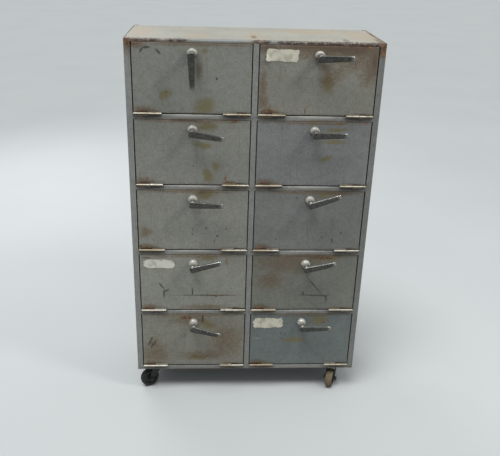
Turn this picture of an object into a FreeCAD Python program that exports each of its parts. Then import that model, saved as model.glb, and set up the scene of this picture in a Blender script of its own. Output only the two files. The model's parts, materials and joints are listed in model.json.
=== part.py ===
import FreeCAD, Part
import math
import os

# Sheet-steel storage cabinet on casters: two columns of five compartments, each closed by a
# flap that drops forward on two barrel hinges and is held by a turning lever latch.
# Millimetres. The modelling frame has X to the right, Y into the cabinet from the front face,
# and Z up from the body's bottom edge. The last section moves every piece so that the origin
# is on the floor, under the middle of the finished cabinet.

os.makedirs("parts", exist_ok=True)
Vec = FreeCAD.Vector
X = Vec(1, 0, 0)
Y = Vec(0, 1, 0)
Z = Vec(0, 0, 1)

# ---------------------------------------------------------------- driving dimensions

# Body
body_width = 750.0
body_height = 1116.0
body_depth = 295.0
rows = 5

# Sheet thicknesses and the outside radius of folded edges
side_sheet = 1.5
frame_sheet = 1.2
back_sheet = 1.0
flap_sheet = 1.5
bend_radius = 2.0

# Face frame
outer_stile = 18.0
centre_stile = 16.0
header = 8.0
rail = 15.0
bottom_rail = 14.25
rail_lip = 12.0

# Hidden folds of the body
top_recess = 1.0
top_flange = 25.0
back_flange = 15.0
base_flange = 100.0

# Flaps
flap_side_gap = 2.75
flap_top_gap = 2.0
flap_return = 15.0

# Barrel hinges; the axis lies midway in the gap under the flap
hinge_half_gap = 1.5
barrel_diameter = 8.0
barrel_length = 40.0
barrel_spacing = 1.5
barrel_standoff = 0.2
pin_diameter = 4.5
pin_collar = 7.0
hinge_foot = 5.0

# Lever latch
spindle_drop = 28.0
spindle_diameter = 8.0
knob_diameter = 29.0
knob_centre = 9.0
neck_root = 22.0
neck_end = 16.0
lever_reach = 51.0
lever_length = 93.0
lever_root_height = 20.0
lever_tip_height = 14.0
lever_root_thickness = 10.0
lever_tip_thickness = 7.0
lever_rounding = 2.5
bush_diameter = 12.0
bush_flange = 18.0
bush_length = 14.0
cam_length = 24.0
cam_width = 11.0
cam_thickness = 3.0
cam_lead = 72.0
spindle_nut_flats = 13.0
spindle_nut_height = 6.0

# Keeper that the cam turns behind
keeper_width = 20.0
keeper_offset = 6.5
keeper_drop = 15.0
keeper_sheet = 2.0
keeper_foot = 12.0

# Casters
caster_height = 86.0
wheel_diameter = 65.0
wheel_width = 24.0
tyre_thickness = 10.5
trail = 28.0
swivel_inset_x = 61.0
swivel_inset_y = 43.0
plate_length = 70.0
plate_width = 60.0
plate_sheet = 2.5
bolt_spacing_x = 54.0
bolt_spacing_y = 44.0
bolt_diameter = 6.0
race_diameter = 34.0
race_height = 2.5
kingpin_diameter = 8.0
kingpin_head = 14.0
kingpin_head_height = 3.0
fork_sheet = 2.5
crown_sheet = 3.0
crown_front = 17.0
crown_back = 20.0
axle_diameter = 8.0
axle_boss = 18.0

# Clearances
running_clearance = 0.05
swivel_gap = 0.4
face_gap = 0.5
keeper_gap = 1.0
wheel_gap = 1.5
bolt_clearance = 0.2

# How each lever stands, in degrees above level, from the top row down
lever_angles = {
    "left": [-90.0, -11.0, -4.0, 13.0, -17.0],
    "right": [0.0, -1.0, 17.0, 12.0, 0.0],
}

# Which way each caster trails, in degrees from +X towards +Y
caster_angles = {
    "front_left": -153.0,
    "front_right": -113.0,
    "rear_left": -135.0,
    "rear_right": -100.0,
}

# ---------------------------------------------------------------- derived sizes

half_width = body_width / 2
web_inside = half_width - side_sheet
frame_back = body_depth - back_sheet
opening_width = (body_width - 2 * outer_stile - centre_stile) / 2
opening_height = (body_height - header - bottom_rail - (rows - 1) * rail) / rows
row_pitch = opening_height + rail
flap_width = opening_width - 2 * flap_side_gap
flap_height = opening_height - 2 * hinge_half_gap - flap_top_gap
top_height = body_height - top_recess
header_foot = body_height - header
column_x = (centre_stile + opening_width) / 2
hinge_y = -(barrel_diameter / 2 + barrel_standoff)
keeper_y = flap_return + keeper_gap
cam_y = keeper_y + keeper_sheet + keeper_gap
spindle_end = cam_y + cam_thickness + spindle_nut_height + 1.5
axle_drop = caster_height - wheel_diameter / 2
fork_half = wheel_width / 2 + wheel_gap + fork_sheet
crown_top = -(plate_sheet + race_height + swivel_gap)
crown_foot = crown_top - crown_sheet

side_sign = {"left": -1, "right": 1}


def sill(row):
    """Height of the compartment floor of a row, counted from the top."""
    return bottom_rail + (rows - row) * row_pitch


# ---------------------------------------------------------------- small shape helpers


def block(x0, x1, y0, y1, z0, z1):
    """A block between two opposite corners, given in any order."""
    low = Vec(min(x0, x1), min(y0, y1), min(z0, z1))
    return Part.makeBox(abs(x1 - x0), abs(y1 - y0), abs(z1 - z0), low)


def rod(start, direction, diameter, length):
    return Part.makeCylinder(diameter / 2, length, start, direction)


def ring(start, direction, outer, inner, length):
    """A tube or washer, from its outer and inner diameters."""
    return rod(start, direction, outer, length).cut(rod(start, direction, inner, length))


def hexagon(start, direction, across_flats, height):
    """A hexagonal prism standing on a point, along a direction."""
    corner = across_flats / math.sqrt(3)
    points = []
    for step in range(7):
        turn = math.radians(60 * step)
        points.append(Vec(corner * math.cos(turn), corner * math.sin(turn), 0))
    prism = Part.Face(Part.makePolygon(points)).extrude(Z * height)
    prism.Placement = FreeCAD.Placement(start, FreeCAD.Rotation(Z, direction))
    return prism


def fuse(pieces):
    """One solid from touching pieces, with leftover seams removed."""
    joined = pieces[0].fuse(pieces[1:])
    return joined.removeSplitter()


def round_edges(solid, radius, wanted):
    """Round the edges whose middle point passes a test."""
    chosen = []
    for edge in solid.Edges:
        middle = edge.valueAt((edge.FirstParameter + edge.LastParameter) / 2)
        if wanted(middle):
            chosen.append(edge)
    return solid.makeFillet(radius, chosen)


def near(value, target):
    return abs(value - target) < 0.01


def mirrored(shape):
    """The same piece for the other side of the cabinet."""
    return shape.mirror(Vec(0, 0, 0), X)


# ---------------------------------------------------------------- body


def caster_axes():
    """Name and swivel axis of each corner."""
    front = swivel_inset_y
    rear = body_depth - swivel_inset_y
    across = half_width - swivel_inset_x
    return {
        "front_left": Vec(-across, front, 0),
        "front_right": Vec(across, front, 0),
        "rear_left": Vec(-across, rear, 0),
        "rear_right": Vec(across, rear, 0),
    }


def bolt_spots(axis):
    """The four bolt centres round a caster's swivel axis."""
    spots = []
    for side_x in (-1, 1):
        for side_y in (-1, 1):
            spots.append(axis + Vec(side_x * bolt_spacing_x / 2, side_y * bolt_spacing_y / 2, 0))
    return spots


def bolt_holes():
    """Rods that cut every caster bolt hole through the base flanges."""
    holes = []
    for axis in caster_axes().values():
        for spot in bolt_spots(axis):
            holes.append(rod(spot - Z, Z, bolt_diameter + 2 * bolt_clearance, side_sheet + 2))
    return holes


def right_side():
    """Side wall folded in at the front stile, at the back and under the base."""
    stile_inside = half_width - outer_stile
    web = block(web_inside, half_width, 0, frame_back, 0, body_height)
    stile = block(stile_inside, half_width, 0, side_sheet, 0, body_height)
    rear = block(half_width - back_flange, half_width, frame_back - side_sheet, frame_back, 0, body_height)
    base = block(half_width - base_flange, half_width, side_sheet, frame_back - side_sheet, 0, side_sheet)
    wall = fuse([web, stile, rear, base])
    wall = round_edges(wall, bend_radius, lambda p: near(p.x, half_width) and near(p.y, 0))
    wall = round_edges(wall, bend_radius, lambda p: near(p.x, half_width) and near(p.y, frame_back))
    return wall.cut(bolt_holes())


def corner_notches():
    """The four corner spaces that the stiles and rear flanges take from every pan."""
    notches = []
    for sign in (-1, 1):
        outside = sign * half_width
        notches.append(block(outside - sign * outer_stile, outside, 0, side_sheet, 0, body_height))
        notches.append(block(outside - sign * back_flange, outside, frame_back - side_sheet, frame_back,
                             0, body_height))
    return notches


def pan(x0, x1, foot, top, front_foot, lip):
    """A sheet with its edges folded down and a lip under the front one, notched at the corners."""
    sheet = frame_sheet
    pieces = [
        block(x0, x1, 0, frame_back, top - sheet, top),
        block(x0, x1, 0, sheet, front_foot, top),
        block(x0, x1, frame_back - sheet, frame_back, foot, top),
        block(x0, x0 + sheet, side_sheet, frame_back, foot, top),
        block(x1 - sheet, x1, side_sheet, frame_back, foot, top),
    ]
    if lip > 0:
        pieces.append(block(x0 + sheet, x1 - sheet, 0, lip, front_foot, front_foot + sheet))
    folded = fuse(pieces)
    folded = round_edges(folded, bend_radius, lambda p: near(p.y, 0) and near(p.z, top))
    return folded.cut(corner_notches())


def top_panel():
    """Roof sheet; its front fold is the header over the top flaps."""
    return pan(-web_inside, web_inside, top_height - top_flange, top_height, header_foot, rail_lip)


def floor_panel():
    """Bottom sheet; its front fold is the rail under the bottom flaps."""
    return pan(-web_inside, web_inside, side_sheet, bottom_rail, 0, 0)


def shelf(row):
    """Right-hand floor of a row above the bottom one; its front fold is the rail."""
    top = sill(row)
    return pan(centre_stile / 2, web_inside, top - rail, top, top - rail, rail_lip)


def shelves():
    """Every shelf, right and left."""
    boards = []
    for row in range(1, rows):
        board = shelf(row)
        boards.append(board)
        boards.append(mirrored(board))
    return boards


def centre_partition():
    """A folded U: the centre stile at the front, and a wall down each column's inner side."""
    half = centre_stile / 2
    roof_foot = top_height - frame_sheet
    face = block(-half, half, 0, frame_sheet, bottom_rail, header_foot)
    pieces = [face]
    for sign in (-1, 1):
        wall = block(sign * (half - frame_sheet), sign * half, 0, frame_back - frame_sheet,
                     bottom_rail, header_foot)
        crest = block(sign * (half - frame_sheet), sign * half, rail_lip, frame_back - frame_sheet,
                      header_foot, roof_foot)
        pieces.append(wall)
        pieces.append(crest)
    return fuse(pieces)


def back_panel():
    """Flat sheet over the rear flanges, flush with the roof."""
    return block(-web_inside, web_inside, frame_back, body_depth, 0, top_height)


# ---------------------------------------------------------------- flaps and hinges


def flap_panel(row, side):
    """A shallow tray, open to the back, with a hole for the latch bush."""
    centre = side_sign[side] * column_x
    left = centre - flap_width / 2
    right = centre + flap_width / 2
    foot = sill(row) + 2 * hinge_half_gap
    top = foot + flap_height
    outer = block(left, right, 0, flap_return, foot, top)
    outer = round_edges(outer, bend_radius, lambda p: p.y < flap_return - 0.01)
    inner = block(left + flap_sheet, right - flap_sheet, flap_sheet, flap_return + 1,
                  foot + flap_sheet, top - flap_sheet)
    hole = rod(spindle_point(row, side) - Y, Y, bush_diameter, flap_sheet + 2)
    return outer.cut([inner, hole])


def spindle_point(row, side):
    """Where a latch spindle crosses the front face of its flap."""
    top = sill(row) + opening_height - flap_top_gap
    return Vec(side_sign[side] * column_x, 0, top - spindle_drop)


def hinge_starts(side):
    """Outer ends of a flap's two hinges, each with the direction that runs inwards."""
    centre = side_sign[side] * column_x
    return [(centre - flap_width / 2, 1), (centre + flap_width / 2, -1)]


def barrel(start_x, direction, height, bore, foot_side):
    """A hinge barrel with the foot that is welded to the flap or to the rail."""
    start = Vec(start_x, hinge_y, height)
    end_x = start_x + direction * barrel_length
    tube = rod(start, X * direction, barrel_diameter, barrel_length)
    near_edge = height + foot_side * hinge_half_gap
    foot = block(start_x, end_x, hinge_y, 0, near_edge, near_edge + foot_side * hinge_foot)
    hole = rod(start, X * direction, bore, barrel_length)
    return fuse([tube, foot]).cut(hole)


def flap_fittings(row, side):
    """The flap's own two barrels and the bush that its latch spindle turns in."""
    height = sill(row) + hinge_half_gap
    bore = pin_diameter + 2 * running_clearance
    pieces = []
    for start_x, direction in hinge_starts(side):
        inner_start = start_x + direction * (barrel_length + barrel_spacing)
        pieces.append(barrel(inner_start, direction, height, bore, 1))
    centre = spindle_point(row, side)
    neck = rod(centre, Y, bush_diameter, bush_length)
    flange = rod(centre + Y * flap_sheet, Y, bush_flange, frame_sheet * 2)
    hole = rod(centre, Y, spindle_diameter + 2 * running_clearance, bush_length)
    pieces.append(fuse([neck, flange]).cut(hole))
    return pieces


def frame_barrels():
    """The fixed halves of all the hinges, outermost on each flap."""
    pieces = []
    for row in range(1, rows + 1):
        height = sill(row) + hinge_half_gap
        for side in side_sign:
            for start_x, direction in hinge_starts(side):
                pieces.append(barrel(start_x, direction, height, pin_diameter, -1))
    return pieces


def hinge_pin(start_x, direction, height):
    """A pin pressed into the fixed barrel, with a collar that keeps the barrels apart."""
    inset = 1.0
    along = X * direction
    start = Vec(start_x, hinge_y, height)
    shank = rod(start + along * inset, along, pin_diameter,
                2 * (barrel_length - inset) + barrel_spacing)
    collar = rod(start + along * barrel_length, along, pin_collar, barrel_spacing - swivel_gap)
    return fuse([shank, collar])


def hinge_pins():
    pins = []
    for row in range(1, rows + 1):
        height = sill(row) + hinge_half_gap
        for side in side_sign:
            for start_x, direction in hinge_starts(side):
                pins.append(hinge_pin(start_x, direction, height))
    return pins


# ---------------------------------------------------------------- lever latches


def bar_section(x, height, thickness, front):
    """Rectangular cross-section of the lever's arm at a distance from the spindle."""
    points = [
        Vec(x, front, -height / 2),
        Vec(x, front + thickness, -height / 2),
        Vec(x, front + thickness, height / 2),
        Vec(x, front, height / 2),
        Vec(x, front, -height / 2),
    ]
    return Part.makePolygon(points)


def lever_at_level():
    """Knob, neck, arm and spindle as one casting, pointing along +X from the spindle."""
    front = -lever_reach
    knob = Part.makeSphere(knob_diameter / 2, Vec(0, -knob_centre, 0))
    knob = knob.cut(block(-knob_diameter, knob_diameter, -face_gap, knob_diameter,
                          -knob_diameter, knob_diameter))
    elbow_centre = front + neck_end / 2
    neck = Part.makeCone(neck_root / 2, neck_end / 2, -elbow_centre - knob_centre,
                         Vec(0, -knob_centre, 0), -Y)
    elbow = Part.makeSphere(neck_end / 2, Vec(0, elbow_centre, 0))
    root = bar_section(0, lever_root_height, lever_root_thickness, front)
    tip = bar_section(lever_length, lever_tip_height, lever_tip_thickness, front)
    arm = Part.makeLoft([root, tip], True, True)
    arm = arm.makeFillet(lever_rounding, arm.Edges)
    spindle = rod(Vec(0, -knob_centre, 0), Y, spindle_diameter, knob_centre + spindle_end)
    return fuse([knob, neck, elbow, arm, spindle])


def cam_at_level():
    """Cam plate, spring washer and nut, with the cam leading the lever by its set angle."""
    start = Vec(0, cam_y, 0)
    plate = block(0, cam_length - cam_width / 2, cam_y, cam_y + cam_thickness,
                  -cam_width / 2, cam_width / 2)
    hub = rod(start, Y, spindle_nut_flats, cam_thickness)
    tip = rod(start + X * (cam_length - cam_width / 2), Y, cam_width, cam_thickness)
    hole = rod(start, Y, spindle_diameter, cam_thickness)
    cam = fuse([plate, hub, tip]).cut(hole)
    cam.rotate(Vec(0, 0, 0), -Y, cam_lead)
    washer_start = bush_length + 2 * swivel_gap
    washer = ring(Vec(0, washer_start, 0), Y, spindle_nut_flats, spindle_diameter,
                  cam_y - washer_start)
    nut_start = start + Y * cam_thickness
    nut = hexagon(nut_start, Y, spindle_nut_flats, spindle_nut_height)
    nut = nut.cut(rod(nut_start, Y, spindle_diameter, spindle_nut_height))
    return [cam, washer, nut]


def set_on_flap(shape, row, side):
    """Turn a latch piece to its lever's rest angle and put it on its spindle."""
    piece = shape.copy()
    piece.rotate(Vec(0, 0, 0), -Y, lever_angles[side][row - 1])
    piece.translate(spindle_point(row, side))
    return piece


def keeper(row, side):
    """Angle bracket under the sheet above, hanging behind the flap's top fold."""
    spindle_x = side_sign[side] * column_x
    right = spindle_x - keeper_offset
    left = right - keeper_width
    opening_top = sill(row) + opening_height
    if row == 1:
        ceiling = top_height - frame_sheet
    else:
        ceiling = sill(row - 1) - frame_sheet
    hanger = block(left, right, keeper_y, keeper_y + keeper_sheet, opening_top - keeper_drop, ceiling)
    foot = block(left, right, keeper_y, keeper_y + keeper_foot, ceiling - keeper_sheet, ceiling)
    return fuse([hanger, foot])


def keepers():
    return [keeper(row, side) for row in range(1, rows + 1) for side in side_sign]


# ---------------------------------------------------------------- casters


def caster_mount(axis):
    """Top plate, upper race and kingpin, all fixed to the body."""
    half_x = plate_length / 2
    half_y = plate_width / 2
    plate = block(-half_x, half_x, -half_y, half_y, -plate_sheet, 0)
    plate = round_edges(plate, 2 * bend_radius, lambda p: near(p.z, -plate_sheet / 2))
    plate.translate(axis)
    holes = [rod(axis - Z * plate_sheet, Z, kingpin_diameter, plate_sheet)]
    for spot in bolt_spots(axis):
        holes.append(rod(spot - Z * plate_sheet, Z, bolt_diameter + 2 * bolt_clearance, plate_sheet))
    plate = plate.cut(holes)
    race = ring(axis - Z * (plate_sheet + race_height), Z, race_diameter, kingpin_diameter, race_height)
    head_top = crown_foot - swivel_gap
    shank = rod(axis + Z * head_top, Z, kingpin_diameter, -head_top)
    head = rod(axis + Z * (head_top - kingpin_head_height), Z, kingpin_head, kingpin_head_height)
    return [plate, race, fuse([shank, head])]


def caster_bolt(spot):
    """Bolt from below through plate and base flange, and its nut above."""
    flats = 10.0
    head_height = 4.0
    nut_height = 5.0
    tail = 1.5
    shank = rod(spot - Z * plate_sheet, Z, bolt_diameter, plate_sheet + side_sheet + nut_height + tail)
    head = hexagon(spot - Z * (plate_sheet + head_height), Z, flats, head_height)
    nut = hexagon(spot + Z * side_sheet, Z, flats, nut_height)
    nut = nut.cut(rod(spot + Z * side_sheet, Z, bolt_diameter, nut_height))
    return [fuse([shank, head]), nut]


def fork_leg(side_y):
    """One cheek of the fork, from the crown down to the axle boss."""
    inner = side_y * (fork_half - fork_sheet)
    boss = axle_boss / 2
    outline = Part.makePolygon([
        Vec(-crown_front, inner, crown_top),
        Vec(crown_back, inner, crown_top),
        Vec(trail + boss, inner, -axle_drop),
        Vec(trail - boss, inner, -axle_drop),
        Vec(-crown_front, inner, crown_foot),
        Vec(-crown_front, inner, crown_top),
    ])
    cheek = Part.Face(outline).extrude(Y * side_y * fork_sheet)
    rounded = rod(Vec(trail, inner, -axle_drop), Y * side_y, axle_boss, fork_sheet)
    return [cheek, rounded]


def fork():
    """Crown and two cheeks in one pressing, trailing along +X from the swivel axis."""
    crown = block(-crown_front, crown_back, -fork_half, fork_half, crown_foot, crown_top)
    shape = fuse([crown] + fork_leg(-1) + fork_leg(1))
    shape = round_edges(shape, bend_radius, lambda p: near(p.z, crown_top) and near(abs(p.y), fork_half))
    swivel_hole = rod(Z * crown_foot, Z, kingpin_diameter + 2 * running_clearance, crown_sheet)
    axle_hole = rod(Vec(trail, -fork_half, -axle_drop), Y, axle_diameter, 2 * fork_half)
    return shape.cut([swivel_hole, axle_hole])


def axle():
    """Bolt through both cheeks, with its nut on the far side."""
    flats = 13.0
    head_height = 5.3
    nut_height = 6.5
    tail = 1.5
    start = Vec(trail, -fork_half, -axle_drop)
    end = Vec(trail, fork_half, -axle_drop)
    shank = rod(start, Y, axle_diameter, 2 * fork_half + nut_height + tail)
    head = hexagon(start, -Y, flats, head_height)
    nut = hexagon(end, Y, flats, nut_height).cut(rod(end, Y, axle_diameter, nut_height))
    return [fuse([shank, head]), nut]


def wheel():
    """Moulded core with a rubber tyre, about the axle in the fork."""
    tyre_rounding = 5.0
    dish = 6.0
    hub_diameter = 17.0
    hub_half = wheel_width / 2 + wheel_gap - 2 * face_gap
    rim = wheel_diameter - 2 * tyre_thickness
    side = Vec(trail, -wheel_width / 2, -axle_drop)
    tyre = rod(side, Y, wheel_diameter, wheel_width)
    tyre = tyre.makeFillet(tyre_rounding, [edge for edge in tyre.Edges if edge.Closed])
    tyre = tyre.cut(rod(side, Y, rim, wheel_width))
    core = rod(side, Y, rim, wheel_width)
    groove_outer = rim - 5.0
    for start, inward in ((side, Y), (side + Y * wheel_width, -Y)):
        core = core.cut(ring(start, inward, groove_outer, hub_diameter, dish))
    hub = rod(Vec(trail, -hub_half, -axle_drop), Y, hub_diameter, 2 * hub_half)
    bore = rod(Vec(trail, -hub_half, -axle_drop), Y, axle_diameter + 2 * running_clearance, 2 * hub_half)
    core = fuse([core, hub]).cut(bore)
    return [tyre, core]


def set_caster(shape, name):
    """Turn a caster piece to the way it trails and put it under its corner."""
    piece = shape.copy()
    piece.rotate(Vec(0, 0, 0), Z, caster_angles[name])
    piece.translate(caster_axes()[name])
    return piece


# ---------------------------------------------------------------- building and export

# The origin is on the floor, midway between the lever fronts and the back of the cabinet.
to_origin = Vec(0, (lever_reach - body_depth) / 2, caster_height)


def save(name, solids):
    """Write one node, as a group when it holds several separate solids."""
    placed = []
    for solid in solids:
        for part in solid.Solids:
            part.translate(to_origin)
            placed.append(part)
    shape = placed[0] if len(placed) == 1 else Part.makeCompound(placed)
    shape.exportStep("parts/" + name + ".step")
    print(name, len(placed), "solids", round(sum(p.Volume for p in placed)), "mm3")


save("right_side", [right_side()])
save("left_side", [mirrored(right_side())])
save("top_panel", [top_panel()])
save("floor_panel", [floor_panel()])
save("back_panel", [back_panel()])
save("centre_partition", [centre_partition()])
save("shelves", shelves())
save("frame_hinge_barrels", frame_barrels())
save("hinge_pins", hinge_pins())
save("latch_keepers", keepers())

level_lever = lever_at_level()
level_cam = cam_at_level()
for flap_side in side_sign:
    for flap_row in range(1, rows + 1):
        place = flap_side + "_" + str(flap_row)
        save("flap_" + place, [flap_panel(flap_row, flap_side)])
        save("flap_fittings_" + place, flap_fittings(flap_row, flap_side))
        save("lever_" + place, [set_on_flap(level_lever, flap_row, flap_side)])
        save("latch_cam_" + place, [set_on_flap(piece, flap_row, flap_side) for piece in level_cam])

mounts = []
bolts = []
for corner_axis in caster_axes().values():
    mounts += caster_mount(corner_axis)
    for bolt_spot in bolt_spots(corner_axis):
        bolts += caster_bolt(bolt_spot)
save("caster_plates", mounts)
save("caster_bolts", bolts)

plain_fork = [fork()] + axle()
plain_wheel = wheel()
for corner in caster_axes():
    save("caster_fork_" + corner, [set_caster(piece, corner) for piece in plain_fork])
    save("wheel_" + corner, [set_caster(piece, corner) for piece in plain_wheel])
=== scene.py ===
# %% [markdown]
# # A sheet-steel cabinet on casters
#
# The real cabinet is a folded steel case with ten flaps in two columns. Each flap drops forward on
# two barrel hinges and is held shut by a plated lever. It has stood in a workshop for decades, so
# the grey paint is stained, scratched and rusty along its edges.
#
# The case, the hinges and the casters arrive as a finished CAD model, which nothing here moves.
# This lesson adds what makes the cabinet look real: pressed flaps, cast levers, turned wheels,
# paper labels, and a procedural finish on every surface.

import json
import math

import bmesh
import bpy
from mathutils import Matrix, Vector, noise


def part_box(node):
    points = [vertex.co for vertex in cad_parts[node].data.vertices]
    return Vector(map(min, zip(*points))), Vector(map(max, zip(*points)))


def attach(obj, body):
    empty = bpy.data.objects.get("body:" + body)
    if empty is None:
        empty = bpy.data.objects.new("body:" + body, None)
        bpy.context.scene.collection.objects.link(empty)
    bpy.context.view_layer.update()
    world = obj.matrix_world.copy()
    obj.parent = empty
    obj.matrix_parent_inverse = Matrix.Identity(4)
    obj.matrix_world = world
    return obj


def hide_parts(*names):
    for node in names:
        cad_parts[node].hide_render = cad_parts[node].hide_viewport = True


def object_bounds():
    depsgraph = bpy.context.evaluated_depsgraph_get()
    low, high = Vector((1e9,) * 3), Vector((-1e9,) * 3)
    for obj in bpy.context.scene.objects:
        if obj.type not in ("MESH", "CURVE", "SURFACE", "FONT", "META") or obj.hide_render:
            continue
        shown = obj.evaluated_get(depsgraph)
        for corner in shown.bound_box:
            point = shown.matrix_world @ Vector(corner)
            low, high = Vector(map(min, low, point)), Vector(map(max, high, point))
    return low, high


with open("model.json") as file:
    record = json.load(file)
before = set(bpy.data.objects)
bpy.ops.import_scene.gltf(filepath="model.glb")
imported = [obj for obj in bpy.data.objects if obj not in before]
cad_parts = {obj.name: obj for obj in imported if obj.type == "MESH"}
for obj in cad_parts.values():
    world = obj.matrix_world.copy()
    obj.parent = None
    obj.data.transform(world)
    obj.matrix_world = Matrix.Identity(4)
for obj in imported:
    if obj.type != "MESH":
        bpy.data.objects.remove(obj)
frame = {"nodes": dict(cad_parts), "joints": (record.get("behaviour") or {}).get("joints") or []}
cad_low, cad_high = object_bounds()
print("CAD box, low corner", tuple(round(value, 3) for value in cad_low))
print("CAD box, high corner", tuple(round(value, 3) for value in cad_high))

# %% [markdown]
# ## Where everything is
#
# Positions could be typed in by hand, but then they would go stale when the CAD changes. It is
# safer to ask the model: the box of a node gives a flap's edges, and a joint gives the axis that a
# piece turns on. A joint's range also tells how a lever stands at rest, because every lever hangs
# straight down at the low end of its travel.

# %% Doors, corners and joints
doors = [f"{side}_{row}" for side in ("left", "right") for row in range(1, 6)]
corners = ["front_left", "front_right", "rear_left", "rear_right"]
joints = {joint["name"]: joint for joint in frame["joints"]}
door_box = {door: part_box("flap_" + door) for door in doors}
face_y = door_box["left_1"][0].y
roof_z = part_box("top_panel")[1].z
half_width = cad_high.x
case_back = cad_high.y
case_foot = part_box("left_side")[0].z
print(len(doors), "doors; front face at y =", round(face_y, 3), "and roof at z =", round(roof_z, 3))


def spindle(door):
    """Where a door's latch spindle crosses its front face."""
    return Vector(joints["lever_turn_" + door]["pos_m"])


def lever_angle(door):
    """How far a lever stands above level at rest, in degrees."""
    return -90 - joints["lever_turn_" + door]["range_deg"][0]


def door_point(door, across, up):
    """A point on a door's face, from the middle of its bottom edge."""
    low, high = door_box[door]
    return Vector(((low.x + high.x) / 2 + across, face_y, low.z + up))


# %% [markdown]
# ## The camera
#
# A camera at standing eye height looks slightly down at the cabinet. Its direction is easiest to
# read as three turns: yaw about the upright, pitch down from level, and a little roll.

# %% Camera
camera_place = Vector((-0.128, -2.053, 1.477))
camera_yaw = math.radians(3.736)
camera_pitch = math.radians(23.80)
camera_roll = math.radians(1.834)

camera_data = bpy.data.cameras.new("camera")
camera_data.lens = 47.9
camera_data.sensor_width = 36.0
camera = bpy.data.objects.new("camera", camera_data)
bpy.context.scene.collection.objects.link(camera)
turn = (
    Matrix.Rotation(-camera_yaw, 4, "Z")
    @ Matrix.Rotation(math.pi / 2 - camera_pitch, 4, "X")
    @ Matrix.Rotation(camera_roll, 4, "Z")
)
camera.matrix_world = Matrix.Translation(camera_place) @ turn
bpy.context.scene.camera = camera
print("camera height", round(camera_place.z, 2), "m")

# %% [markdown]
# ## Tools for finishes
#
# A procedural finish is a small network of shader nodes. Building it by hand takes many lines, so
# a few helpers do the wiring: one adds a node, one joins or sets a socket, and the others make the
# patterns that old paint and steel are built from. All patterns read object coordinates. The
# pieces keep their place in their mesh, so these are metres on the cabinet itself. Some finishes
# also read the way a surface faces, to paint shade onto the ledges round the flaps and onto the
# undersides of the hinges and levers.

# %% Wiring helpers
def add(finish, kind, **settings):
    """Put a shader node in a finish."""
    node = finish.node_tree.nodes.new("ShaderNode" + kind)
    for name, value in settings.items():
        setattr(node, name, value)
    return node


def feed(finish, socket, value):
    """Join a socket to another node, or set it to a plain value."""
    if isinstance(value, bpy.types.NodeSocket):
        finish.node_tree.links.new(value, socket)
    else:
        socket.default_value = value


def new_finish(name):
    """An empty finish with its shader, and the place on the piece in metres."""
    finish = bpy.data.materials.new(name)
    finish.use_nodes = True
    shader = finish.node_tree.nodes["Principled BSDF"]
    place = add(finish, "TexCoord").outputs["Object"]
    return finish, shader, place


# %% Arithmetic on patterns
def reckon(finish, operation, first, second=0.0):
    """One step of arithmetic, kept between 0 and 1."""
    node = add(finish, "Math", operation=operation, use_clamp=True)
    feed(finish, node.inputs[0], first)
    feed(finish, node.inputs[1], second)
    return node.outputs[0]


def fade(finish, value, start, end):
    """0 at start and 1 at end, with a smooth run between them."""
    node = add(finish, "MapRange", interpolation_type="SMOOTHSTEP")
    feed(finish, node.inputs["Value"], value)
    feed(finish, node.inputs["From Min"], start)
    feed(finish, node.inputs["From Max"], end)
    return node.outputs["Result"]


def blend_colour(finish, amount, under, over, way="MIX"):
    """Lay one colour over another by an amount."""
    node = add(finish, "Mix", data_type="RGBA", blend_type=way)
    feed(finish, node.inputs[0], amount)
    for socket, colour in ((node.inputs[6], under), (node.inputs[7], over)):
        feed(finish, socket, colour if isinstance(colour, bpy.types.NodeSocket) else (*colour, 1.0))
    return node.outputs[2]


def times(finish, first, second):
    """Multiply two values."""
    return reckon(finish, "MULTIPLY", first, second)


def tinted(finish, pattern, start, end, colour, tint):
    """Multiply a colour by a tint, more and more as a pattern goes from start to end."""
    return blend_colour(finish, fade(finish, pattern, start, end), colour, tint, "MULTIPLY")


def between(finish, amount, low, high):
    """A value that goes from low to high as an amount goes from 0 to 1."""
    node = add(finish, "MapRange")
    feed(finish, node.inputs["Value"], amount)
    feed(finish, node.inputs["To Min"], low)
    feed(finish, node.inputs["To Max"], high)
    return node.outputs[0]


def axes(finish, vector):
    """The X, Y and Z outputs of a vector."""
    node = add(finish, "SeparateXYZ")
    feed(finish, node.inputs[0], vector)
    return node.outputs


def facing(finish):
    """The way the surface faces, as X, Y and Z outputs."""
    return axes(finish, add(finish, "TexCoord").outputs["Normal"])


# %% Patterns
def cloud(finish, place, scale, detail=3.0, roughness=0.5):
    """Soft noise; scale is the number of lumps in a metre."""
    node = add(finish, "TexNoise")
    feed(finish, node.inputs["Vector"], place)
    feed(finish, node.inputs["Scale"], scale)
    feed(finish, node.inputs["Detail"], detail)
    feed(finish, node.inputs["Roughness"], roughness)
    return node.outputs[0]


def stretched(finish, place, stretch):
    """The same place, scaled differently along each axis, so that a pattern runs in streaks."""
    node = add(finish, "Mapping")
    feed(finish, node.inputs["Vector"], place)
    feed(finish, node.inputs["Scale"], stretch)
    return node.outputs[0]


mark_raggedness = 0.9
mark_edge = 1.45
mark_middle = 0.45


def patch(finish, place, ragged, centre, half_size, tilt, core):
    """1 inside an ellipsoid and 0 outside, with a ragged soft edge; a large core keeps it solid."""
    node = add(finish, "Mapping", vector_type="TEXTURE")
    feed(finish, node.inputs["Vector"], place)
    feed(finish, node.inputs["Location"], centre)
    feed(finish, node.inputs["Rotation"], (0.0, -math.radians(tilt), 0.0))
    feed(finish, node.inputs["Scale"], half_size)
    length = add(finish, "VectorMath", operation="LENGTH")
    feed(finish, length.inputs[0], node.outputs[0])
    reach = add(finish, "Math", operation="MULTIPLY_ADD")
    feed(finish, reach.inputs[0], ragged)
    feed(finish, reach.inputs[1], mark_raggedness)
    feed(finish, reach.inputs[2], length.outputs["Value"])
    return fade(finish, reach.outputs[0], mark_edge, mark_middle + core)


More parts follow.
